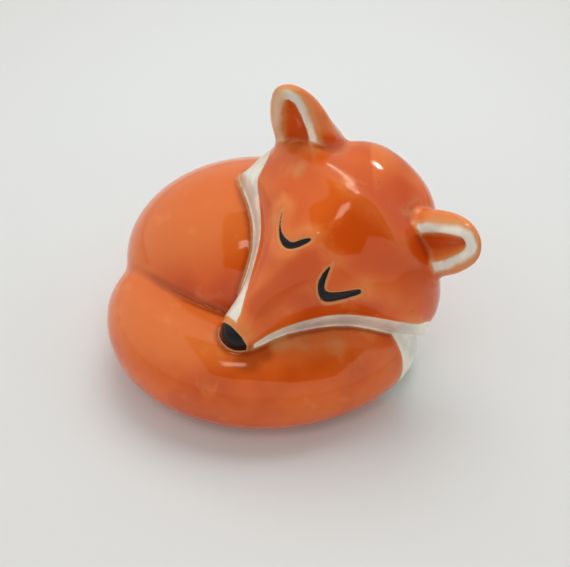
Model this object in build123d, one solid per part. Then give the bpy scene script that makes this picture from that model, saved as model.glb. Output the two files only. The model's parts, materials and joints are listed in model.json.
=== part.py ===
from build123d import *
import math
import os

# A fox asleep in a curl, modelled in clay as separate lumps that are luted together and glazed.
# +Z is up and the muzzle points to the front, -Y. The origin is on the flat foot, at the middle
# of the coil that the tail makes. Left and right are the fox's own.

# Trunk: a mound, thrown up behind the tail
trunk_width = 54.0
trunk_depth = 44.0
trunk_height = 34.4
trunk_centre_height = 14.0
trunk_setback = 8.0

# Neck: a lump that fills the corner between the trunk and the head
neck_width = 27.0
neck_depth = 27.0
neck_height = 30.0
neck_place = (16.0, 2.0, 21.0)

# Hollow under the trunk, so that no clay is too thick to fire
side_wall = 9.0
front_wall = 12.5
rear_wall = 6.5
crown_wall = 15.0

# Tail: a thick coil round the front, white at its end
coil_radius = 20.5
coil_offset = 1.0
tail_width = 20.0
tail_height = 20.0
tail_start_angle = 160.0
tail_end_angle = 368.0
tip_angle = 322.0
tip_slant = 14.0
foot_flat = 0.6
# share of the tail's run, then shares of the coil's radius, the width and the height
tail_station_shares = [
    (0.00, 0.86, 0.70, 0.80),
    (0.13, 0.98, 1.00, 1.04),
    (0.29, 1.03, 1.06, 1.06),
    (0.45, 1.03, 1.03, 1.02),
    (0.60, 1.06, 1.00, 0.96),
    (0.71, 1.12, 0.98, 0.91),
    (0.80, 1.20, 0.92, 0.83),
    (0.87, 1.24, 0.80, 0.70),
    (0.93, 1.24, 0.60, 0.55),
    (0.97, 1.22, 0.38, 0.38),
    (1.00, 1.20, 0.14, 0.18),
]

# Head: a long wedge with flared cheeks, which lies over the tail and the trunk
head_length = 47.6
head_width = 49.6
head_rise = 11.4
head_drop = 13.3
nose_place = (-5.2, -22.2, 19.6)
head_turn = -54.0
head_nod = 29.0
head_roll = 27.8
# share of the length, then shares of the half width, the rise, the drop of the widest line and
# the drop of the chin, and the share of the half width that is drawn out into the cheek
head_station_shares = [
    (0.025, 0.12, 0.20, 0.07, 0.21, 0.00),
    (0.105, 0.18, 0.38, 0.14, 0.35, 0.00),
    (0.210, 0.25, 0.60, 0.31, 0.53, 0.00),
    (0.333, 0.40, 0.83, 0.58, 0.75, 0.03),
    (0.458, 0.68, 0.96, 0.74, 0.93, 0.12),
    (0.562, 0.93, 1.01, 0.72, 1.00, 0.28),
    (0.667, 0.895, 0.98, 0.60, 1.00, 0.12),
    (0.771, 0.72, 0.85, 0.43, 0.94, 0.05),
    (0.875, 0.47, 0.56, 0.26, 0.80, 0.00),
]
# The cheeks of a hand-made head differ: the left one is drawn out back and wide, the right one
# forward. Where a cheek is drawn out the brow over it is flat, so its curve gets a lower power.
brow_flatness_share = 0.9
left_cheek_lean = 3.5
right_cheek_lean = 7.5
left_cheek_growth = 2.6
dome_shares = [0.55, 0.85, 0.97]
tip_dome_shares = [0.70]
section_points = 12

# Seam between the orange face and the white chin: share of the length, share of the drop
seam_shares = [
    (-0.04, 0.01),
    (0.17, 0.00),
    (0.34, 0.06),
    (0.51, 0.14),
    (0.575, 0.26),
    (0.63, 0.58),
    (0.70, 1.20),
]
# The seam runs higher on the right cheek: it is rolled about a line along the left one
seam_roll = 3.0
seam_pivot = 18.0

# Nose pad: the tip of the muzzle, as far as a ball round this centre reaches
nose_centre = (0.0, 0.2, 0.8)
nose_reach = 3.9

# Ears: flattened cones that lean back from the crown, each with a scooped front and a white rim.
# A bed is the middle of the ear's front edge, in shares of the head's half width, length and rise.
# A lean is the way that the ear points, and an across is the way from its left edge to its right.
left_ear_bed_share = (0.495, 0.722, 0.42)
right_ear_bed_share = (-0.625, 0.695, 0.30)
left_ear_lean_share = (0.564, 0.608, 0.560)
right_ear_lean_share = (-0.520, 0.430, 0.740)
left_ear_across_share = (0.825, -0.440, -0.353)
right_ear_across_share = (0.842, 0.418, 0.349)
ear_length = 13.4
ear_width = 13.6
ear_depth = 9.0
ear_root = 5.0
ear_rim = 3.2
rim_depth = 2.5
rim_slant = 5.0
# share of the length, then shares of the width and the depth
ear_station_shares = [
    (0.00, 0.96, 1.28),
    (0.25, 0.94, 0.95),
    (0.50, 0.85, 0.71),
    (0.75, 0.68, 0.51),
    (0.93, 0.41, 0.32),
]
scoop_depth_share = 0.32
scoop_tip_share = 0.84

# Eyes: strokes cut into the face and filled
eye_inlay = 0.8
eye_stroke = 1.75
# share of the head's half width, share of its length, share of the stroke's width
left_eye_shares = [
    (0.194, 0.469, 0.28),
    (0.222, 0.410, 0.85),
    (0.292, 0.382, 1.10),
    (0.372, 0.424, 0.80),
    (0.448, 0.481, 0.60),
]
right_eye_shares = [
    (-0.335, 0.488, 0.30),
    (-0.262, 0.438, 0.42),
    (-0.140, 0.416, 0.95),
    (-0.076, 0.446, 0.85),
    (-0.038, 0.483, 0.55),
]

# Room by which cutting shapes run past what they cut
overrun = 60.0


def ellipsoid(width, depth, height):
    return scale(Sphere(1), by=(width / 2, depth / 2, height / 2))


def ring(plane, half_width, half_height):
    points = []
    for i in range(section_points):
        angle = 2 * math.pi * i / section_points
        points.append(Vector(half_width * math.sin(angle), half_height * math.cos(angle)))
    return plane * closed_curve(points)


def closed_curve(points):
    # Every curve has its knots at the same shares, so a loft through several of them stays smooth.
    knots = [i / len(points) for i in range(len(points) + 1)]
    return Wire([Edge.make_spline(points, periodic=True, parameters=knots)])


def above_floor():
    return Pos(0, 0, overrun / 2) * Box(2 * overrun, 2 * overrun, overrun)


def trunk_form():
    crown_rise = trunk_height - trunk_centre_height
    mound = ellipsoid(trunk_width, trunk_depth, 2 * crown_rise)
    neck = ellipsoid(neck_width, neck_depth, neck_height)
    lump = Pos(0, trunk_setback, trunk_centre_height) * mound + Pos(*neck_place) * neck
    return lump & above_floor()


def hollow_form():
    crown_rise = trunk_height - trunk_centre_height
    foot_share = math.sqrt(1 - (trunk_centre_height / crown_rise) ** 2)
    foot_width = trunk_width * foot_share
    foot_depth = trunk_depth * foot_share
    width = foot_width - 2 * side_wall
    depth = foot_depth - front_wall - rear_wall
    setback = trunk_setback + (front_wall - rear_wall) / 2
    dome = ellipsoid(width, depth, 2 * (trunk_height - crown_wall))
    return Pos(0, setback, 0) * dome


def tail_plane(angle, radius):
    outward = Vector(math.cos(angle), math.sin(angle), 0)
    back_along = Vector(math.sin(angle), -math.cos(angle), 0)
    place = Vector(0, coil_offset, 0) + outward * radius
    return Plane(origin=place, x_dir=outward, z_dir=back_along)


def tail_section(angle_share, radius_share, width_share, height_share):
    # An oval that is cut off by the floor, so the tail has its own flat foot.
    angle = math.radians(tail_start_angle + angle_share * (tail_end_angle - tail_start_angle))
    half_width = tail_width * width_share / 2
    rise = tail_height * height_share / 2
    centre = rise - foot_flat * height_share
    reach = math.acos(-centre / rise)
    points = []
    for i in range(section_points + 1):
        turn = reach * (2 * i / section_points - 1)
        points.append(Vector(half_width * math.sin(turn), centre + rise * math.cos(turn)))
    knots = [i / section_points for i in range(section_points + 1)]
    oval = Edge.make_spline(points, parameters=knots)
    foot = Edge.make_line(points[-1], points[0])
    return tail_plane(angle, coil_radius * radius_share) * Wire([oval, foot])


def tail_form():
    return Solid.make_loft([tail_section(*station) for station in tail_station_shares])


def tail_end_side():
    plane = tail_plane(math.radians(tip_angle), 0)
    block = Pos(overrun / 2, 0, -overrun / 2) * Box(overrun, 2 * overrun, overrun)
    return plane * Rot(-tip_slant, 0, 0) * block


def head_place():
    return Pos(*nose_place) * Rot(0, 0, head_turn) * Rot(head_nod, 0, 0) * Rot(0, head_roll, 0)


def head_section(along, half, top, mid, bottom, cheek):
    # Two half ovals, the lower one flatter, with the sides drawn out by a high power of the sine.
    # Each curve starts under the chin, so that no seam of the surface runs over the face.
    points = []
    for i in range(section_points):
        angle = math.pi + 2 * math.pi * i / section_points
        side = math.sin(angle)
        upright = math.cos(angle)
        point = cheek * side**5
        growth = left_cheek_growth if side > 0 else 0
        lean = left_cheek_lean if side > 0 else right_cheek_lean
        out = half * ((1 - cheek) * side + point) + growth * point
        brow = (top - mid) * abs(upright) ** (1 - brow_flatness_share * cheek)
        height = brow if upright >= 0 else (mid - bottom) * upright
        points.append(Vector(out, along + lean * point, mid + height))
    return closed_curve(points)


def head_sizes(station):
    along, half, top, mid, bottom, cheek = station
    return (
        head_length * along,
        head_width / 2 * half,
        head_rise * top,
        -head_drop * mid,
        -head_drop * bottom,
        cheek,
    )


def dome_section(station, end, share):
    along, half, top, mid, bottom, cheek = head_sizes(station)
    shrink = math.sqrt(1 - share**2)
    place = along + (end - along) * share
    high = mid + (top - mid) * shrink
    low = mid + (bottom - mid) * shrink
    return head_section(place, half * shrink, high, mid, low, cheek)


def head_form():
    first = head_station_shares[0]
    last = head_station_shares[-1]
    tip = Vertex(0, 0, head_sizes(first)[3])
    crown = Vertex(0, head_length, head_sizes(last)[3])
    front = [dome_section(first, 0, share) for share in reversed(tip_dome_shares)]
    middle = [head_section(*head_sizes(station)) for station in head_station_shares]
    back = [dome_section(last, head_length, share) for share in dome_shares]
    return Solid.make_loft([tip, *front, *middle, *back, crown])


def chin_side():
    points = [(head_length * along, -head_drop * drop) for along, drop in seam_shares]
    seam = Plane.YZ * Spline(*points)
    low = -overrun
    corners = [(points[-1][0], low), (points[0][0], low)]
    sides = Plane.YZ * Polyline(points[-1], *corners, points[0])
    face = make_face(Wire([*seam.edges(), *sides.edges()]))
    below = extrude(face, overrun, both=True)
    return Pos(seam_pivot, 0, 0) * Rot(0, seam_roll, 0) * Pos(-seam_pivot, 0, 0) * below


def nose_side():
    return Pos(*nose_centre) * Sphere(nose_reach)


def ear_section(height, width, depth):
    # The rim lies along the plane Y = 0 of the ear, and the ear's depth is behind it.
    return ring(Plane(origin=(0, depth / 2, height)), width / 2, depth / 2)


def scoop_section(height, width, depth):
    return ring(Plane(origin=(0, 0, height)), width / 2 - ear_rim, depth * scoop_depth_share)


def ear_place(bed_share, lean_share, across_share):
    side, along, up = bed_share
    bed = (head_width / 2 * side, head_length * along, head_rise * up)
    return Plane(origin=bed, x_dir=across_share, z_dir=lean_share)


def ear_form():
    sections = [ear_section(-ear_root, ear_width, ear_depth)]
    hollows = [scoop_section(-ear_root, ear_width, ear_depth)]
    for along, width_share, depth_share in ear_station_shares:
        width = ear_width * width_share
        depth = ear_depth * depth_share
        sections.append(ear_section(ear_length * along, width, depth))
        if along < scoop_tip_share:
            hollows.append(scoop_section(ear_length * along, width, depth))
    tip_depth = ear_depth * ear_station_shares[-1][2]
    cone = Solid.make_loft([*sections, Vertex(0, tip_depth / 2, ear_length)])
    scoop_end = Vertex(0, tip_depth / 2, ear_length * scoop_tip_share)
    return cone - Solid.make_loft([*hollows, scoop_end])


def rim_side():
    plane = Pos(0, rim_depth, 0) * Rot(rim_slant, 0, 0)
    return plane * Pos(0, -overrun / 2, 0) * Box(overrun, overrun, overrun)


def eye_outline(station_shares):
    middle = [Vector(head_width / 2 * side, head_length * along) for side, along, width in station_shares]
    reach = [eye_stroke / 2 * width for side, along, width in station_shares]
    count = len(middle)
    left, right = [], []
    for i in range(count):
        run = (middle[min(i + 1, count - 1)] - middle[max(i - 1, 0)]).normalized()
        across = Vector(-run.Y, run.X)
        left.append(middle[i] + across * reach[i])
        right.append(middle[i] - across * reach[i])
    start = middle[0] + (middle[0] - middle[1]).normalized() * reach[0]
    end = middle[-1] + (middle[-1] - middle[-2]).normalized() * reach[-1]
    return make_face(closed_curve([start, *left, end, *reversed(right)]))


def eye_form(station_shares, form):
    stroke = extrude(eye_outline(station_shares), 2 * head_rise)
    return (stroke - Pos(0, 0, -eye_inlay) * form) & form


def export(node, shape):
    export_step(shape, f"parts/{node}.step")


def main():
    os.makedirs("parts", exist_ok=True)
    form = head_form()
    place = head_place()
    head = place * form
    left_eye = eye_form(left_eye_shares, form)
    right_eye = eye_form(right_eye_shares, form)
    jaw = form & chin_side()
    nose = form & nose_side()
    export("head", place * (form - jaw - nose - left_eye - right_eye))
    export("jaw", place * (jaw - nose))
    export("nose", place * nose)
    export("left_eye", place * left_eye)
    export("right_eye", place * right_eye)
    ear = ear_form()
    rim = ear & rim_side()
    left_place = ear_place(left_ear_bed_share, left_ear_lean_share, left_ear_across_share)
    right_place = ear_place(right_ear_bed_share, right_ear_lean_share, right_ear_across_share)
    export("left_ear", place * (left_place * (ear - rim) - form))
    export("right_ear", place * (right_place * (ear - rim) - form))
    export("left_ear_rim", place * (left_place * rim - form))
    export("right_ear_rim", place * (right_place * rim - form))
    trunk = trunk_form()
    tail = tail_form()
    end_side = tail_end_side()
    export("body", trunk - tail - head - hollow_form())
    export("tail", tail - head - end_side)
    export("tail_tip", (tail & end_side) - head)


main()
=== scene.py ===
# %% [markdown]
# # A glazed clay fox, asleep in a curl
# The real figure is made by hand. Separate lumps of clay are luted together: a round trunk, a thick
# tail that coils round the front, a wedge of a head laid over both, and two scooped ears. A wet
# finger closes the joins, white and black slips mark the chin, the tail's end, the nose and the
# eyes, and a clear gloss glaze is fired over an orange underglaze.
# The lesson follows the potter: take the lumps, lute them, smooth the joins, cut the eyes, measure
# where the slips go, divide the skin into its pieces again, and glaze it.

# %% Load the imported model
import json
import math

import bpy
import numpy as np
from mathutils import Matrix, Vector
from mathutils.bvhtree import BVHTree


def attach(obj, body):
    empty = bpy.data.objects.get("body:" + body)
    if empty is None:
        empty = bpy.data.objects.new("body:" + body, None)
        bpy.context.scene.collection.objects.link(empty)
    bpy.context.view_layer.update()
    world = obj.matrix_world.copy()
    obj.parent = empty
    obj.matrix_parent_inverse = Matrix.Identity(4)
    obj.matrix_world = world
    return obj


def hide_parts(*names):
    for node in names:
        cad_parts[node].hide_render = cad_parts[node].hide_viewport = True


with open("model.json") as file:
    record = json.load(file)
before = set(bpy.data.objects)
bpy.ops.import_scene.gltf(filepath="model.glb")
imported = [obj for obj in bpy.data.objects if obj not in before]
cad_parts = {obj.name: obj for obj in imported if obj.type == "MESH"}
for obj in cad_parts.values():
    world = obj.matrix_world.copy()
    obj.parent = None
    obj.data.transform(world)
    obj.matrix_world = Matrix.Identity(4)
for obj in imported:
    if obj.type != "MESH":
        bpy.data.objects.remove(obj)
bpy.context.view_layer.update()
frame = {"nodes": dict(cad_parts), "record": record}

MM = 0.001
nodes = frame["nodes"]
print("nodes:", sorted(nodes))

# %% [markdown]
# ## The camera
# The photograph looks down on the fox from the front at about forty degrees, from a hand's breadth
# or two away. The camera is set before anything else, because every later choice is judged through
# it. It stands on a line from a target inside the fox, so its place follows from one angle and one
# distance.

# %% Camera
camera_elevation = math.radians(42.0)
camera_distance = 215 * MM
camera_target = Vector((5.4, 0.0, 14.4)) * MM
camera_lens = 68.0

towards_camera = Vector((0, -math.cos(camera_elevation), math.sin(camera_elevation)))
bpy.ops.object.camera_add(location=camera_target + towards_camera * camera_distance,
                          rotation=(math.pi / 2 - camera_elevation, 0, 0))
camera = bpy.context.object
camera.name = "camera"
camera.data.lens = camera_lens
camera.data.clip_start = 5 * MM
bpy.context.scene.camera = camera
bpy.context.scene.view_settings.view_transform = "Standard"
print("camera at", tuple(round(v, 4) for v in camera.location))

# %% [markdown]
# ## The clay lumps
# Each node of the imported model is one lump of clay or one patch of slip. They meet face to face,
# as cut shapes do, while the real lumps were pressed together wet and have no sharp seam at all.
# A bevel can't run along such joins, so the lumps are copied, joined into one object and remeshed
# with voxels. That gives one even skin that a smoothing modifier can work on, as a finger does.

# %% Helpers for modelling


def deselect():
    if bpy.context.object and bpy.context.object.mode != "OBJECT":
        bpy.ops.object.mode_set(mode="OBJECT")
    bpy.ops.object.select_all(action="DESELECT")


def make_active(piece):
    deselect()
    piece.select_set(True)
    bpy.context.view_layer.objects.active = piece


def apply_modifier(piece, name, kind, **settings):
    make_active(piece)
    modifier = piece.modifiers.new(name, kind)
    for key, value in settings.items():
        setattr(modifier, key, value)
    bpy.ops.object.modifier_apply(modifier=modifier.name)


# %% Join copies of the lumps
voxel = 0.4 * MM
weld_distance = 0.001 * MM


def copy_of(node):
    piece = bpy.data.objects.new("lump_" + node, nodes[node].data.copy())
    bpy.context.scene.collection.objects.link(piece)
    make_active(piece)
    bpy.ops.object.mode_set(mode="EDIT")
    bpy.ops.mesh.select_all(action="SELECT")
    bpy.ops.mesh.remove_doubles(threshold=weld_distance)
    bpy.ops.object.mode_set(mode="OBJECT")
    return piece


lumps = [copy_of(node) for node in sorted(nodes)]
deselect()
for lump in lumps:
    lump.select_set(True)
bpy.context.view_layer.objects.active = lumps[0]
bpy.ops.object.join()
clay = bpy.context.object
clay.name = "clay"
clay.data.materials.clear()
apply_modifier(clay, "lute", "REMESH", mode="VOXEL", voxel_size=voxel, adaptivity=0.0)
print("skin:", len(clay.data.vertices), "points")

# %% [markdown]
# ## How far each point is from each lump
# The skin has forgotten which lump it came from. The distance from every point to every packed
# node tells it again: a point belongs to the node that it touches, and it lies on a seam where it
# is close to two. The distances are measured now, while the skin still lies on the nodes, and serve
# the smoothing, the slips and the division into pieces.

# %% Measure the distances


def points_of(mesh):
    values = np.empty(len(mesh.vertices) * 3)
    mesh.vertices.foreach_get("co", values)
    return values.reshape(-1, 3)


def normals_of(mesh):
    values = np.empty(len(mesh.vertices) * 3)
    mesh.vertex_normals.foreach_get("vector", values)
    return values.reshape(-1, 3)


def tree_of(node):
    mesh = nodes[node].data
    return BVHTree.FromPolygons([v.co for v in mesh.vertices], [p.vertices for p in mesh.polygons])


def distance_to(node, places):
    tree = tree_of(node)
    return np.array([tree.find_nearest(Vector(place))[3] for place in places]) / MM


skin_points = points_of(clay.data)
distance = {node: distance_to(node, skin_points) for node in nodes}
print("farthest skin point from any node, mm:", round(float(np.min(list(distance.values()), axis=0).max()), 2))

# %% Helpers on the distances


def smooth_step(value, low, high):
    share = np.clip((value - low) / (high - low), 0, 1)
    return share * share * (3 - 2 * share)


def near_seam(one, other, reach):
    return 1 - smooth_step(np.maximum(distance[one], distance[other]), 0.3 * reach, reach)


def nearest(group):
    return np.minimum.reduce([distance[node] for node in group])


ear_clay = nearest([node for node in nodes if "ear" in node])
print("skin points on the ears:", int((ear_clay < 0.2).sum()))

# %% [markdown]
# ## Edges and hollows
# Later steps ask where the clay is hollow and where it stands out. A point's height over a much
# smoothed copy of the skin tells the two apart: it is below zero in a scoop or a crease and above
# zero on an edge. It costs no ray casting, and one measure serves the ears' scoops, the thin glaze,
# and the pooled glaze and painted shade in the creases.

# %% Measure the height over the smoothed skin
broad_rounds = 60


def neighbour_mean(values, edges, count):
    total = np.empty_like(values)
    for axis in range(values.shape[1]):
        total[:, axis] = (np.bincount(edges[:, 0], values[edges[:, 1], axis], count)
                          + np.bincount(edges[:, 1], values[edges[:, 0], axis], count))
    degree = np.bincount(edges.ravel(), minlength=count)
    return total / degree[:, None]


def height_over_smoothed(mesh, rounds):
    count = len(mesh.vertices)
    edges = np.empty(len(mesh.edges) * 2, int)
    mesh.edges.foreach_get("vertices", edges)
    edges = edges.reshape(-1, 2)
    start = points_of(mesh)
    smoothed = start
    for _ in range(rounds):
        smoothed = neighbour_mean(smoothed, edges, count)
    return np.einsum("ij,ij->i", start - smoothed, normals_of(mesh)) / MM


first_height = height_over_smoothed(clay.data, broad_rounds)
print("deepest scoop, mm:", round(float(first_height.min()), 2))

# %% [markdown]
# ## Smooth the joins
# A potter wets the joins of the ears and of the tail until they run into each other, and leaves the
# crease under the chin alone, because a finger doesn't reach it. A vertex group holds how much each
# point is rubbed, and the Smooth modifier works by that group. A second group covers the brow and
# the cheeks, away from the eyes, the ears and the chin, where a palm rounds the clay, and a third
# covers the scoops of the ears. A last light pass takes the steps of the voxels out everywhere.
# One strong smoothing of the whole skin would be shorter, but it would melt the ears' rims.

# %% Choose what is rubbed
ear_join_reach = (1.2, 4.5)
tail_join_reach = 2.4
tail_root_reach = 7.0
tail_root_start, tail_root_end = 16.0, 23.0
tip_join_reach = 2.0

luted = np.maximum.reduce([
    1 - smooth_step(np.maximum(ear_clay, distance["head"]), *ear_join_reach),
    near_seam("tail", "body", tail_join_reach) * 0.5,
    near_seam("tail", "body", tail_root_reach) * smooth_step(-skin_points[:, 0] / MM, tail_root_start, tail_root_end),
    near_seam("tail_tip", "body", tip_join_reach) * 0.4,
])
scooped = (1 - smooth_step(ear_clay, 0.2, 0.6)) * smooth_step(-first_height, 0.10, 0.45)
off_head = nearest([node for node in nodes if node != "head"])
brow = smooth_step(off_head, 1.0, 3.5) * (1 - smooth_step(distance["head"], 0.1, 0.5))
print("rubbed points:", int((luted > 0.05).sum()), "on the brow:", int((brow > 0.05).sum()))

# %% Smooth by vertex group
group_levels = 20
rubs = [
    ("scooped", scooped, 40),
    ("luted", luted, 70),
    ("brow", brow, 260),
]
last_rub = 6


def set_group(piece, name, weights):
    group = piece.vertex_groups.get(name) or piece.vertex_groups.new(name=name)
    for level in range(1, group_levels + 1):
        chosen = np.nonzero(np.rint(weights * group_levels) == level)[0]
        group.add(chosen.tolist(), level / group_levels, "REPLACE")


for name, weights, rounds in rubs:
    set_group(clay, name, weights)
    apply_modifier(clay, "rub " + name, "SMOOTH", factor=0.5, iterations=rounds, vertex_group=name)
apply_modifier(clay, "rub all over", "SMOOTH", factor=0.5, iterations=last_rub)
moved = np.linalg.norm(points_of(clay.data) - skin_points, axis=1) / MM
print("largest move, mm:", round(float(moved.max()), 2))

# %% [markdown]
# ## Cut the closed eyes
# The eyes are strokes that a loop tool cuts into the soft clay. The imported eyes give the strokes'
# outlines. The distance to the eye less the distance to the head is a signed distance: it is below
# zero inside the stroke, so the clay can sink along a soft profile there. A boolean cut would leave
# walls as sharp as a knife's, which the tool doesn't.

# %% Sink the eye strokes
eye_depth = 0.45 * MM
stroke_floor, stroke_lip = -0.55, 0.25

points = points_of(clay.data)
normals = normals_of(clay.data)
eyes_side = nearest(["left_eye", "right_eye"]) - nearest(["head", "jaw"])
sink = eye_depth * (1 - smooth_step(eyes_side, stroke_floor, stroke_lip))
points -= normals * sink[:, None]
clay.data.vertices.foreach_set("co", points.ravel())
clay.data.update()
x, y, z = (points / MM).T
print("eye points:", int((eyes_side < 0).sum()))

# %% [markdown]
# ## Where the slips lie
# White slip is brushed round the chin, over the tail's end and on the ears' rims, and black slip
# fills the nose and the eye strokes. The distance to a slip's own nodes less the distance to all
# the others is below zero inside it and zero on its edge. A painted mask would be as coarse as the
# mesh, while the shader can cut a signed distance to a crisp edge between the points.

# %% Signed distances of the slips
orange_nodes = ["body", "tail", "head", "left_ear", "right_ear"]
rim_nodes = ["left_ear_rim", "right_ear_rim"]
white_nodes = ["jaw", "tail_tip"]
black_nodes = ["nose", "left_eye", "right_eye"]

white_side = nearest(white_nodes) - nearest(orange_nodes + black_nodes)
rim_side = nearest(rim_nodes) - nearest(orange_nodes)
black_side = nearest(black_nodes) - nearest(orange_nodes + white_nodes)
print("white points:", int((white_side < 0).sum()), "black points:", int((black_side < 0).sum()))

# %% [markdown]
# ## What the brush did
# A brush isn't as exact as a cut shape. On the fox's right cheek it ran wider than the jaw. It
# stopped short of the nose, and it is held back from the crease under the chin, so that the crease
# shows orange and dark there as painted shade. On the tuft at the back of that cheek, and on the rim
# of the right ear, the slip is so thin that the clay shows through it. The signed distance is moved
# for the first two, and a mask of its own tans the last.

# %% Brush marks of the white slip
wide_cheek = 3.0
wide_cheek_fade = (3.0, 5.0)
shaded_crease_gap = 0.25
nose_gap = 1.0
tuft_start, tuft_end = 3.0, 8.0
tuft_reach = 6.0
thin_rim_end = 7.0
thin_rim_fade = 3.0
rim_reach = 1.0

facing_right = smooth_step(-normals[:, 0], 0.15, 0.55)
white_side -= wide_cheek * facing_right * (1 - smooth_step(distance["jaw"], *wide_cheek_fade))
# The white is held back from the crease under the chin and over the tail, so the crease shows dark as painted shade.
to_shaded_crease = np.minimum(distance["body"], distance["tail"]) - shaded_crease_gap
to_nose = distance["nose"] - nose_gap
on_jaw = distance["jaw"] < distance["tail_tip"]
white_side = np.where(on_jaw, np.maximum(white_side, -np.minimum(to_shaded_crease, to_nose)), white_side)
tuft = on_jaw * smooth_step(y, tuft_start, tuft_end) * (x < tuft_reach)
thin_rim = smooth_step(thin_rim_end - x, 0.0, thin_rim_fade) * (nearest(rim_nodes) < rim_reach)
print("white points after the brush:", int((white_side < 0).sum()))

# %% [markdown]
# ## Where the clay stays bare
# The foot is wiped clean before firing, because glaze would stick it to the kiln's shelf, and no
# brush reaches into the hollow. Both are found by their place: a height, and an ellipse on the foot.

# %% Bare clay
foot_line = 0.35
hollow_middle = (0.0, 11.0)
hollow_reach = (12.5, 9.0)
hollow_top = 21.0

in_hollow = ((x - hollow_middle[0]) / hollow_reach[0]) ** 2 + ((y - hollow_middle[1]) / hollow_reach[1]) ** 2 < 1
bare = np.where((in_hollow & (z < hollow_top)) | (z < foot_line), 1.0, 0.0)
print("bare points:", int(bare.sum()))

# %% [markdown]
# ## Where the colour is paler, and where it is deeper
# The orange pales on the slopes that face up and to the fox's right, except on the brow: partly
# thinner glaze that drained off, and partly painted light on the lit slopes. Along the top of the
# muzzle it is painted deeper, as a painted dark reflection. A few spots on the tail and at the ears'
# feet show tan clay, and two spots on the tail below the muzzle are painted shadow. These places
# follow no rule of form, so each is a point with a reach, and the muzzle's is a line.

# %% Drained and lit slopes, and the muzzle's painted reflection
drain_and_light_way = np.array((-0.52, 0.21, 0.83))
lit_drain_start, lit_drain_end = 0.40, 0.75
brow_end = 21.0
muzzle_start = np.array((0.7, -21.4, 28.2))
muzzle_end = np.array((9.5, -19.3, 36.6))
muzzle_half_width = (1.4, 3.2)

# Painted light with thinner glaze: paler where the skin faces up and to the fox's right, less on the brow.
drained = smooth_step(normals @ drain_and_light_way, lit_drain_start, lit_drain_end) * (1 - 0.7 * brow * (x < brow_end))
# A line along the top of the muzzle, painted deeper orange as a painted dark reflection.
muzzle_run = muzzle_end - muzzle_start
from_start = points / MM - muzzle_start
run_share = np.clip(from_start @ muzzle_run / (muzzle_run @ muzzle_run), 0, 1)
from_line = np.linalg.norm(from_start - run_share[:, None] * muzzle_run, axis=1)
muzzle_pool = 1 - smooth_step(from_line, *muzzle_half_width)
print("drained points:", int((drained > 0.5).sum()), "on the muzzle:", int((muzzle_pool > 0.5).sum()))

# %% Tan spots and painted shadow spots
# place of each spot and its reach
tan_places = [
    (4.6, -21.1, 18.7, 2.6),
    (9.2, -20.6, 18.2, 2.8),
    (14.7, -20.3, 17.3, 2.4),
    (5.5, -2.6, 44.5, 2.2),
    (8.2, -4.1, 45.6, 2.0),
    (16.0, 5.9, 45.8, 2.2),
]
# Painted shadow: two spots on the tail below the muzzle, where its shadow falls.
painted_shadow_places = [
    (-1.2, -24.9, 18.2, 3.0),
    (1.3, -23.4, 18.6, 2.4),
]


def spots(places):
    masks = []
    for *place, reach in places:
        away = np.linalg.norm(points / MM - np.array(place), axis=1)
        masks.append(1 - smooth_step(away, 0.4 * reach, 1.2 * reach))
    return np.maximum.reduce(masks)


tan_spots = spots(tan_places)
pool_spots = spots(painted_shadow_places)
print("tan points:", int((tan_spots > 0.5).sum()), "pool points:", int((pool_spots > 0.5).sum()))

# %% [markdown]
# ## Keep the measures on the skin
# Attributes carry the measures to the materials, because they stay with the points when the skin is
# divided. The skin's normals are kept as well, to shade the cut edges later.

# %% Write the attributes
broad_height = height_over_smoothed(clay.data, broad_rounds)
measures = {
    "muzzle_pool": muzzle_pool,
    "tan_spots": tan_spots,
    "pool_spots": pool_spots,
    "drained": drained,
    "white_side": white_side,
    "rim_side": rim_side,
    "tanned": np.maximum(tuft, thin_rim),
    "black_side": black_side,
    "ear_near": ear_clay,
    "broad_height": broad_height,
    "bare": bare,
}
for name, values in measures.items():
    layer = clay.data.attributes.new(name, "FLOAT", "POINT")
    layer.data.foreach_set("value", np.asarray(values, np.float32))
skin_normal = clay.data.attributes.new("skin_normal", "FLOAT_VECTOR", "POINT")
skin_normal.data.foreach_set("vector", normals_of(clay.data).ravel().astype(np.float32))
print("attributes:", [a.name for a in clay.data.attributes if a.domain == "POINT"])

# %% [markdown]
# ## Shader maths in Python
# Node trees are written as expressions, which are easier to read than trees wired by hand. The
# class holds a socket and adds a Math node for each operator, and one method makes any other node.

# %% The socket class


class Value:
    def __init__(self, tree, socket):
        self.tree = tree
        self.socket = socket

    def math(self, operation, *others):
        return node(self.tree, "ShaderNodeMath", {"operation": operation}, [self, *others])

    def __add__(self, other):
        return self.math("ADD", other)

    def __radd__(self, other):
        return self.math("ADD", other)

    def __sub__(self, other):
        return self.math("SUBTRACT", other)

    def __rsub__(self, other):
        return node(self.tree, "ShaderNodeMath", {"operation": "SUBTRACT"}, [other, self])

    def __mul__(self, other):
        return self.math("MULTIPLY", other)

    def __rmul__(self, other):
        return self.math("MULTIPLY", other)

    def __truediv__(self, other):
        return self.math("DIVIDE", other)

    def ramp(self, low, high):
        inputs = {"Value": self, "From Min": low, "From Max": high}
        return node(self.tree, "ShaderNodeMapRange", {"interpolation_type": "SMOOTHSTEP"}, inputs)


print("a socket takes + - * / and ramp")

# %% Any other node


def node(tree, kind, settings, inputs, output=0):
    made = tree.nodes.new(kind)
    for key, value in settings.items():
        setattr(made, key, value)
    pairs = inputs.items() if isinstance(inputs, dict) else enumerate(inputs)
    for key, value in pairs:
        if isinstance(value, Value):
            tree.links.new(value.socket, made.inputs[key])
        else:
            made.inputs[key].default_value = value
    return Value(tree, made.outputs[output])


def attribute(tree, name):
    return node(tree, "ShaderNodeAttribute", {"attribute_name": name}, {}, "Fac")


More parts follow.
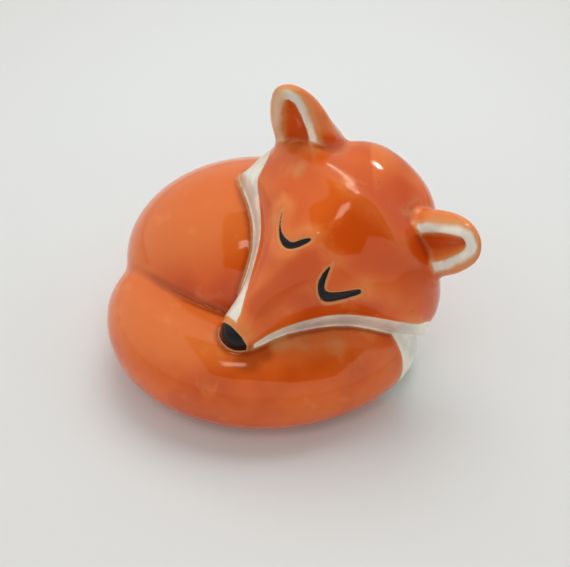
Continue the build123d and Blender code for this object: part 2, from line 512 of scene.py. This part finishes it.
def noise(tree, coordinates, scale, detail=3.0, roughness=0.5):
    inputs = {"Vector": coordinates, "Scale": scale, "Detail": detail, "Roughness": roughness}
    return node(tree, "ShaderNodeTexNoise", {}, inputs, "Fac")


def colour_mix(tree, share, one, other):
    factor, first, second = 0, 6, 7
    inputs = {factor: share, first: one, second: other}
    return node(tree, "ShaderNodeMix", {"data_type": "RGBA"}, inputs, 2)


def linear(red, green, blue):
    def channel(value):
        value /= 255
        return value / 12.92 if value <= 0.04045 else ((value + 0.055) / 1.055) ** 2.4
    return (channel(red), channel(green), channel(blue), 1.0)


print("mid grey in the shader's terms:", round(linear(128, 128, 128)[0], 3))

# %% [markdown]
# ## The orange underglaze
# Orange stain is brushed over the clay before the clear glaze. It drifts between a lighter and a
# deeper orange and pales on edges. It is paler on the slopes that face up and to the fox's right,
# from thinner glaze and from painted light. It turns red-brown in the creases, where glaze pools and
# where painted shade lies, and in two painted shadow spots under the muzzle, and the top of the
# muzzle is painted deeper as a painted dark reflection. The colours are mixed one over the other,
# in the order in which they lie. Noises on Object coordinates make the drift, the clouds and the
# wander of the brush, so the pattern stays with the figure.

# %% Colours
orange = linear(217, 90, 20)
deep_orange = linear(200, 73, 11)
# Paler orange for thinner glaze and for painted light on the lit slopes.
thin_and_lit_orange = linear(224, 114, 50)
pale_orange = linear(230, 142, 76)
tan = linear(206, 152, 92)
# Red-brown for pooled glaze and pinholes, and for painted shade in the creases and under the muzzle.
pooled_and_shade = linear(150, 52, 12)
white_slip = linear(240, 235, 220)
grey_slip = linear(208, 207, 196)
black_slip = linear(20, 17, 20)
bare_clay = linear(206, 186, 158)
print("orange:", tuple(round(channel, 3) for channel in orange[:3]))

# %% Orange
drained_and_lit_share = 0.85
cloud_share = 0.3
edge_share = 0.5
crease_share, ear_crease_share = 0.4, 0.3
muzzle_reflection_share = 0.8
painted_shadow_share = 0.6
spot_share = 0.45
ear_foot_share = 0.35


def underglaze(tree, drift, cloud, wander):
    broad = attribute(tree, "broad_height")
    ear_near = attribute(tree, "ear_near")
    colour = colour_mix(tree, drift.ramp(0.38, 0.62), deep_orange, orange)
    # Painted light: the slopes that face up and to the fox's right are paler, partly from thinner glaze.
    colour = colour_mix(tree, attribute(tree, "drained") * drained_and_lit_share, colour, thin_and_lit_orange)
    colour = colour_mix(tree, cloud.ramp(0.58, 0.72) * cloud_share, colour, pale_orange)
    colour = colour_mix(tree, (broad + wander * 0.3).ramp(0.12, 0.50) * edge_share, colour, pale_orange)
    # Creases and hollows turn red-brown: pooled glaze, and painted shade where shade falls in them.
    crease = (wander * 0.2 - broad).ramp(0.06, 0.45)
    crease_strength = ear_near.ramp(0.3, 2.5) * crease_share + ear_crease_share
    colour = colour_mix(tree, crease * crease_strength, colour, pooled_and_shade)
    # Painted dark reflection: the top of the muzzle is painted deeper orange.
    colour = colour_mix(tree, attribute(tree, "muzzle_pool") * muzzle_reflection_share, colour, deep_orange)
    # Painted shadow: two spots on the tail under the muzzle are painted red-brown.
    colour = colour_mix(tree, attribute(tree, "pool_spots") * painted_shadow_share, colour, pooled_and_shade)
    ear_foot = ear_near.ramp(0.0, 0.6) * (1 - ear_near.ramp(1.0, 4.0)) * cloud.ramp(0.44, 0.62)
    spot = attribute(tree, "tan_spots") * cloud.ramp(0.30, 0.60)
    return colour_mix(tree, spot * spot_share + ear_foot * ear_foot_share, colour, tan)


print("pooled glaze:", tuple(round(channel, 3) for channel in pooled_and_shade[:3]))

# %% [markdown]
# ## The slips
# White slip is thick and chalky, with grey where it lies thin. Its edge fades into the orange over
# a tan line, where a little of the stain was drawn into it. Black slip has a fine tan halo, where
# the glaze drew back from it. Each edge is cut from its signed distance, and the wander added to the
# distance makes it as uneven as a brush does.

# %% White and black slip
tan_line_share = 0.5
tan_rim_share = 0.7
rim_share = 0.95
tanned_share = 0.75
halo_share = 0.6


def slips(tree, colour, cloud, wander):
    slip = colour_mix(tree, cloud.ramp(0.35, 0.65), grey_slip, white_slip)
    slip = colour_mix(tree, attribute(tree, "tanned") * tanned_share, slip, tan)
    rim_side = attribute(tree, "rim_side") + wander * 1.2
    white_side = attribute(tree, "white_side")
    tan_line = 1 - (white_side + wander).ramp(0.0, 0.9)
    tan_rim = 1 - rim_side.ramp(-1.0, 0.0)
    colour = colour_mix(tree, tan_line * tan_line_share, colour, tan)
    colour = colour_mix(tree, tan_rim * tan_rim_share, colour, tan)
    colour = colour_mix(tree, (1 - rim_side.ramp(-1.3, -0.75)) * rim_share, colour, slip)
    colour = colour_mix(tree, 1 - (white_side + wander * 0.6).ramp(-0.12, 0.12), colour, slip)

    black_side = attribute(tree, "black_side")
    halo = 1 - (black_side + wander * 0.6).ramp(0.05, 0.4)
    colour = colour_mix(tree, halo * halo_share, colour, tan)
    black = 1 - (black_side + wander * 0.3).ramp(-0.26, -0.10)
    return colour_mix(tree, black, colour, black_slip), black


print("white slip:", tuple(round(channel, 3) for channel in white_slip[:3]))

# %% [markdown]
# ## The clear glaze
# The figure is dipped in clear glaze as a whole, so one recipe serves all the pieces, and only the
# tint of the gloss differs. Clear glaze is a smooth surface over the coloured clay: the roughness
# is low, slow waves in the bump bend what it mirrors, and a few pinholes break it. A coat layer
# could carry the gloss instead, but it would have to be taken off the bare foot again, while the
# roughness alone makes both.

# %% Build the glazes
drift_scale, cloud_scale, brush_scale, grain_scale = 70.0, 170.0, 420.0, 2600.0
pinhole_scale = 160.0
pinhole_share = 0.5
glaze_ior = 1.5
gloss_tint = {
    "orange_glaze": (1.0, 0.85, 0.70, 1.0),
    "white_glaze": (1.0, 0.96, 0.90, 1.0),
    "black_glaze": (0.36, 0.38, 0.42, 1.0),
}


def glaze(name):
    material = bpy.data.materials.new(name)
    material.use_nodes = True
    tree = material.node_tree
    tree.nodes.clear()
    place = node(tree, "ShaderNodeTexCoord", {}, {}, "Object")
    drift = noise(tree, place, drift_scale, 2.0)
    cloud = noise(tree, place, cloud_scale, 4.0, 0.55)
    grain = noise(tree, place, grain_scale, 2.0)
    wander = (noise(tree, place, brush_scale) - 0.5) * 0.5

    colour = underglaze(tree, drift, cloud, wander)
    colour, black = slips(tree, colour, cloud, wander)
    specks = node(tree, "ShaderNodeTexVoronoi", {}, {"Vector": place, "Scale": pinhole_scale}, "Distance")
    hole = 1 - specks.ramp(0.03, 0.055)
    colour = colour_mix(tree, hole * pinhole_share, colour, pooled_and_shade)
    bare = attribute(tree, "bare").ramp(0.3, 0.7)
    colour = colour_mix(tree, bare, colour, bare_clay)
    roughness = cloud * 0.04 + 0.03 + black * 0.05 + bare * 0.8
    waves = (drift - 0.5) * 0.10 + (cloud - 0.5) * 0.02 + grain * bare * 0.03 - hole * 0.02
    bump = node(tree, "ShaderNodeBump", {}, {"Strength": 1.0, "Distance": MM, "Height": waves}, "Normal")

    surface = {"Base Color": colour, "Roughness": roughness, "Normal": bump,
               "IOR": glaze_ior, "Specular Tint": gloss_tint[name]}
    shader = node(tree, "ShaderNodeBsdfPrincipled", {}, surface)
    output = tree.nodes.new("ShaderNodeOutputMaterial")
    tree.links.new(shader.socket, output.inputs["Surface"])
    return material


slot_of = {entry["node"]: entry["material_slot"] for entry in frame["record"]["subparts"]}
glazes = {slot: glaze(slot) for slot in sorted(set(slot_of.values()))}
print("glazes:", sorted(glazes))

# %% [markdown]
# ## Divide the skin into its pieces again
# Each piece keeps its own name and stands for its own node. A face goes to the node that its
# corners are nearest to. The faces get a material index for each node, and separating by material
# cuts the skin along the seams. Solidify then gives each patch a wall inwards, so every piece is
# closed.

# %% Separate the skin
piece_names = sorted(nodes)

loops = np.empty(len(clay.data.polygons) * 4, int)
clay.data.polygons.foreach_get("vertices", loops)
corners = loops.reshape(-1, 4)
face_distance = np.array([distance[name][corners].mean(axis=1) for name in piece_names])
for name in piece_names:
    clay.data.materials.append(bpy.data.materials.new("part_" + name))
clay.data.polygons.foreach_set("material_index", face_distance.argmin(axis=0).astype(np.int32))
make_active(clay)
bpy.ops.object.mode_set(mode="EDIT")
bpy.ops.mesh.select_all(action="SELECT")
bpy.ops.mesh.separate(type="MATERIAL")
bpy.ops.object.mode_set(mode="OBJECT")
patches = {}
for patch in list(bpy.context.selected_objects) + [clay]:
    patches[patch.data.materials[0].name[len("part_"):]] = patch
print("patches:", {name: len(patch.data.polygons) for name, patch in patches.items()})

# %% [markdown]
# ## Close each piece and keep the shading even
# Where the skin is cut, each half would shade by its own faces alone, and the gloss would show a
# line. The skin's normals from before the cut are therefore put back on the outer faces, and turned
# round on the inner ones. The faces along the cut keep their own.

# %% Put the normals back
same_way = 0.4


def restore_normals(mesh):
    stored = np.empty(len(mesh.vertices) * 3, np.float32)
    mesh.attributes["skin_normal"].data.foreach_get("vector", stored)
    stored = stored.reshape(-1, 3)
    vertex_of = np.empty(len(mesh.loops), int)
    mesh.loops.foreach_get("vertex_index", vertex_of)
    face_normal = np.empty(len(mesh.polygons) * 3)
    mesh.polygons.foreach_get("normal", face_normal)
    face_normal = face_normal.reshape(-1, 3)
    total = np.empty(len(mesh.polygons), int)
    mesh.polygons.foreach_get("loop_total", total)
    own = face_normal[np.repeat(np.arange(len(mesh.polygons)), total)]
    outward = stored[vertex_of]
    facing = np.einsum("ij,ij->i", outward, own)
    chosen = np.where((facing > same_way)[:, None], outward, own)
    chosen = np.where((facing < -same_way)[:, None], -outward, chosen)
    mesh.polygons.foreach_set("use_smooth", np.ones(len(mesh.polygons), bool))
    mesh.normals_split_custom_set(chosen.tolist())


print("normals within", round(math.degrees(math.acos(same_way))), "degrees of a face's own are put back")

# %% Close the pieces
wall = 0.6 * MM


def open_edges(mesh):
    uses = np.zeros(len(mesh.edges), int)
    edge_of = np.empty(len(mesh.loops), int)
    mesh.loops.foreach_get("edge_index", edge_of)
    np.add.at(uses, edge_of, 1)
    return int((uses != 2).sum())


for name in piece_names:
    patch = patches[name]
    patch.name = "fox_" + name
    patch.vertex_groups.clear()
    patch.data.materials.clear()
    patch.data.materials.append(glazes[slot_of[name]])
    apply_modifier(patch, "wall", "SOLIDIFY", thickness=wall, offset=-1.0, use_rim=True)
    restore_normals(patch.data)
    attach(patch, "root")
    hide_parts(name)
    print(patch.name, len(patch.data.polygons), "faces,", open_edges(patch.data), "open edges")

# %% [markdown]
# ## The floor
# The figure stands on a pale sheet, which keeps its shadow. The sheet is a little brighter behind
# the figure than at the sides and the front. More light there would also brighten the fox, so that
# brighter patch is a painted pool of light in the sheet's colour instead, a soft round patch.

# %% Floor
floor_size = 3.0
floor_light = linear(224, 227, 226)
floor_dim = linear(222, 220, 216)
# Centre and reach of the painted pool of light on the sheet.
bright_place = (5 * MM, 60 * MM, 0)
bright_reach = (20 * MM, 240 * MM)

bpy.ops.mesh.primitive_plane_add(size=floor_size, location=(0, 0, 0))
floor = bpy.context.object
floor.name = "floor"
paper = bpy.data.materials.new("pale_sheet")
paper.use_nodes = True
sheet = paper.node_tree
sheet_place = node(sheet, "ShaderNodeTexCoord", {}, {}, "Object")
away = node(sheet, "ShaderNodeVectorMath", {"operation": "DISTANCE"}, [sheet_place, bright_place], "Value")
paper_shader = sheet.nodes["Principled BSDF"]
paper_shader.inputs["Roughness"].default_value = 0.9
paper_shader.inputs["Specular IOR Level"].default_value = 0.2
sheet.links.new(colour_mix(sheet, away.ramp(*bright_reach), floor_light, floor_dim).socket,
                paper_shader.inputs["Base Color"])
floor.data.materials.append(paper)
print("floor", tuple(floor.dimensions))

# %% [markdown]
# ## The tent
# The light is a small white tent, even and soft. Its front and top are open towards the
# photographer, and the gloss mirrors that opening as a dark shape with a crisp edge. A pale patch
# in the opening is mirrored as the small bright mark on the brow. Sheets round the figure could
# make the tent, but they would shade the floor and show in other views, so the world shader draws
# it. The opening is a rectangle on a plane that lies square to one direction: two dot products
# divided by a third give the place on that plane. The far wall, behind the fox, is a little darker.

# %% Directions in the tent
opening_tilt = math.radians(65.0)
opening_axis = Vector((0, -math.cos(opening_tilt), math.sin(opening_tilt)))
opening_up = Vector((0, math.sin(opening_tilt), math.cos(opening_tilt)))
raggedness = 0.2

world = bpy.data.worlds.new("tent")
bpy.context.scene.world = world
world.use_nodes = True
sky = world.node_tree
sky.nodes.clear()
direction = node(sky, "ShaderNodeTexCoord", {}, {}, "Generated")


def along(axis):
    return node(sky, "ShaderNodeVectorMath", {"operation": "DOT_PRODUCT"}, [direction, tuple(axis)], "Value")


depth = along(opening_axis)
ragged = (noise(sky, direction, 2.5) - 0.5) * raggedness
across = along((1, 0, 0)) / depth + ragged
upright = along(opening_up) / depth - ragged
print("the opening faces", tuple(round(v, 2) for v in opening_axis))

# %% Tent
tent_level = 0.90
far_wall_level = 0.62
far_wall_start, far_wall_end = 0.35, 0.85
opening_level = 0.04
opening_left, opening_right = -0.45, 1.05
opening_low, opening_high = -0.52, 0.74
opening_blur = 0.03
glow_level = 5.0
glow_left, glow_right = -0.20, -0.02
glow_low, glow_high = -0.02, 0.16
glow_slant = 0.5
tent_colour = (1.0, 0.99, 0.975, 1)


def between(value, low, high):
    above_low = value.ramp(low - opening_blur, low + opening_blur)
    return above_low * (1 - value.ramp(high - opening_blur, high + opening_blur))


opening = between(across, opening_left, opening_right) * between(upright, opening_low, opening_high)
dark = opening * depth.ramp(0.05, 0.10)
slanted = upright - across * glow_slant
glow = between(across, glow_left, glow_right) * between(slanted, glow_low, glow_high) * depth.ramp(0.5, 0.6)
far_wall = along((0, 1, 0)).ramp(far_wall_start, far_wall_end)
wall_level = tent_level - far_wall * (tent_level - far_wall_level)
level = wall_level * (1 - dark) + dark * opening_level + glow * glow_level
background = node(sky, "ShaderNodeBackground", {}, {"Color": tent_colour, "Strength": level})
sky_output = sky.nodes.new("ShaderNodeOutputWorld")
sky.links.new(background.socket, sky_output.inputs["Surface"])
print("tent opening from", opening_left, "to", opening_right)

# %% [markdown]
# ## The lamps
# Two large soft lamps help the tent: one above and a little behind the figure, and a weaker one in
# front, below the opening. They only light, and are hidden from the gloss. Two strips of small lamps
# do the opposite: the gloss mirrors them as bright marks on the brow, and diffuse rays don't see
# them. One set of lamps could do both, as in the real tent, but then neither the light nor the
# marks could be set without the other.

# %% Soft lamps
figure_middle = Vector((0, 0, 20 * MM))
soft_lamp_size = 0.22
soft_lamp_distance = 0.30
top_lamp_place, top_lamp_watts = (0.1, 1.1), 0.42
front_lamp_place, front_lamp_watts = (0.0, -0.3), 0.10


def heading(across_place, up_place):
    return (opening_axis + Vector((1, 0, 0)) * across_place + opening_up * up_place).normalized()


def soft_lamp(name, towards, watts):
    bpy.ops.object.light_add(type="AREA", location=figure_middle + towards * soft_lamp_distance,
                             rotation=towards.to_track_quat("Z", "Y").to_euler())
    lamp = bpy.context.object
    lamp.name = name
    lamp.data.size = soft_lamp_size
    lamp.data.energy = watts
    lamp.visible_glossy = False


soft_lamp("top_light", heading(*top_lamp_place), top_lamp_watts)
soft_lamp("front_light", heading(*front_lamp_place), front_lamp_watts)
print("soft lamps:", top_lamp_watts, "W above and", front_lamp_watts, "W in front")

# %% Lamp strips
strip_distance = 0.20
strip_count = 12
lamp_radius = 1.1 * MM
lamp_watts = 0.02
near_strip = (0.20, 0.64), (0.56, 0.58)
far_strip = (0.28, 2.25), (0.62, 1.05)


def lamp_strip(name, first, last):
    start, end = heading(*first), heading(*last)
    for i in range(strip_count):
        towards = Vector(start).lerp(Vector(end), i / (strip_count - 1)).normalized()
        bpy.ops.object.light_add(type="POINT", location=figure_middle + towards * strip_distance)
        lamp = bpy.context.object
        lamp.name = f"{name}_{i}"
        lamp.data.energy = lamp_watts
        lamp.data.shadow_soft_size = lamp_radius
        lamp.visible_diffuse = False


lamp_strip("strip_near", *near_strip)
lamp_strip("strip_far", *far_strip)
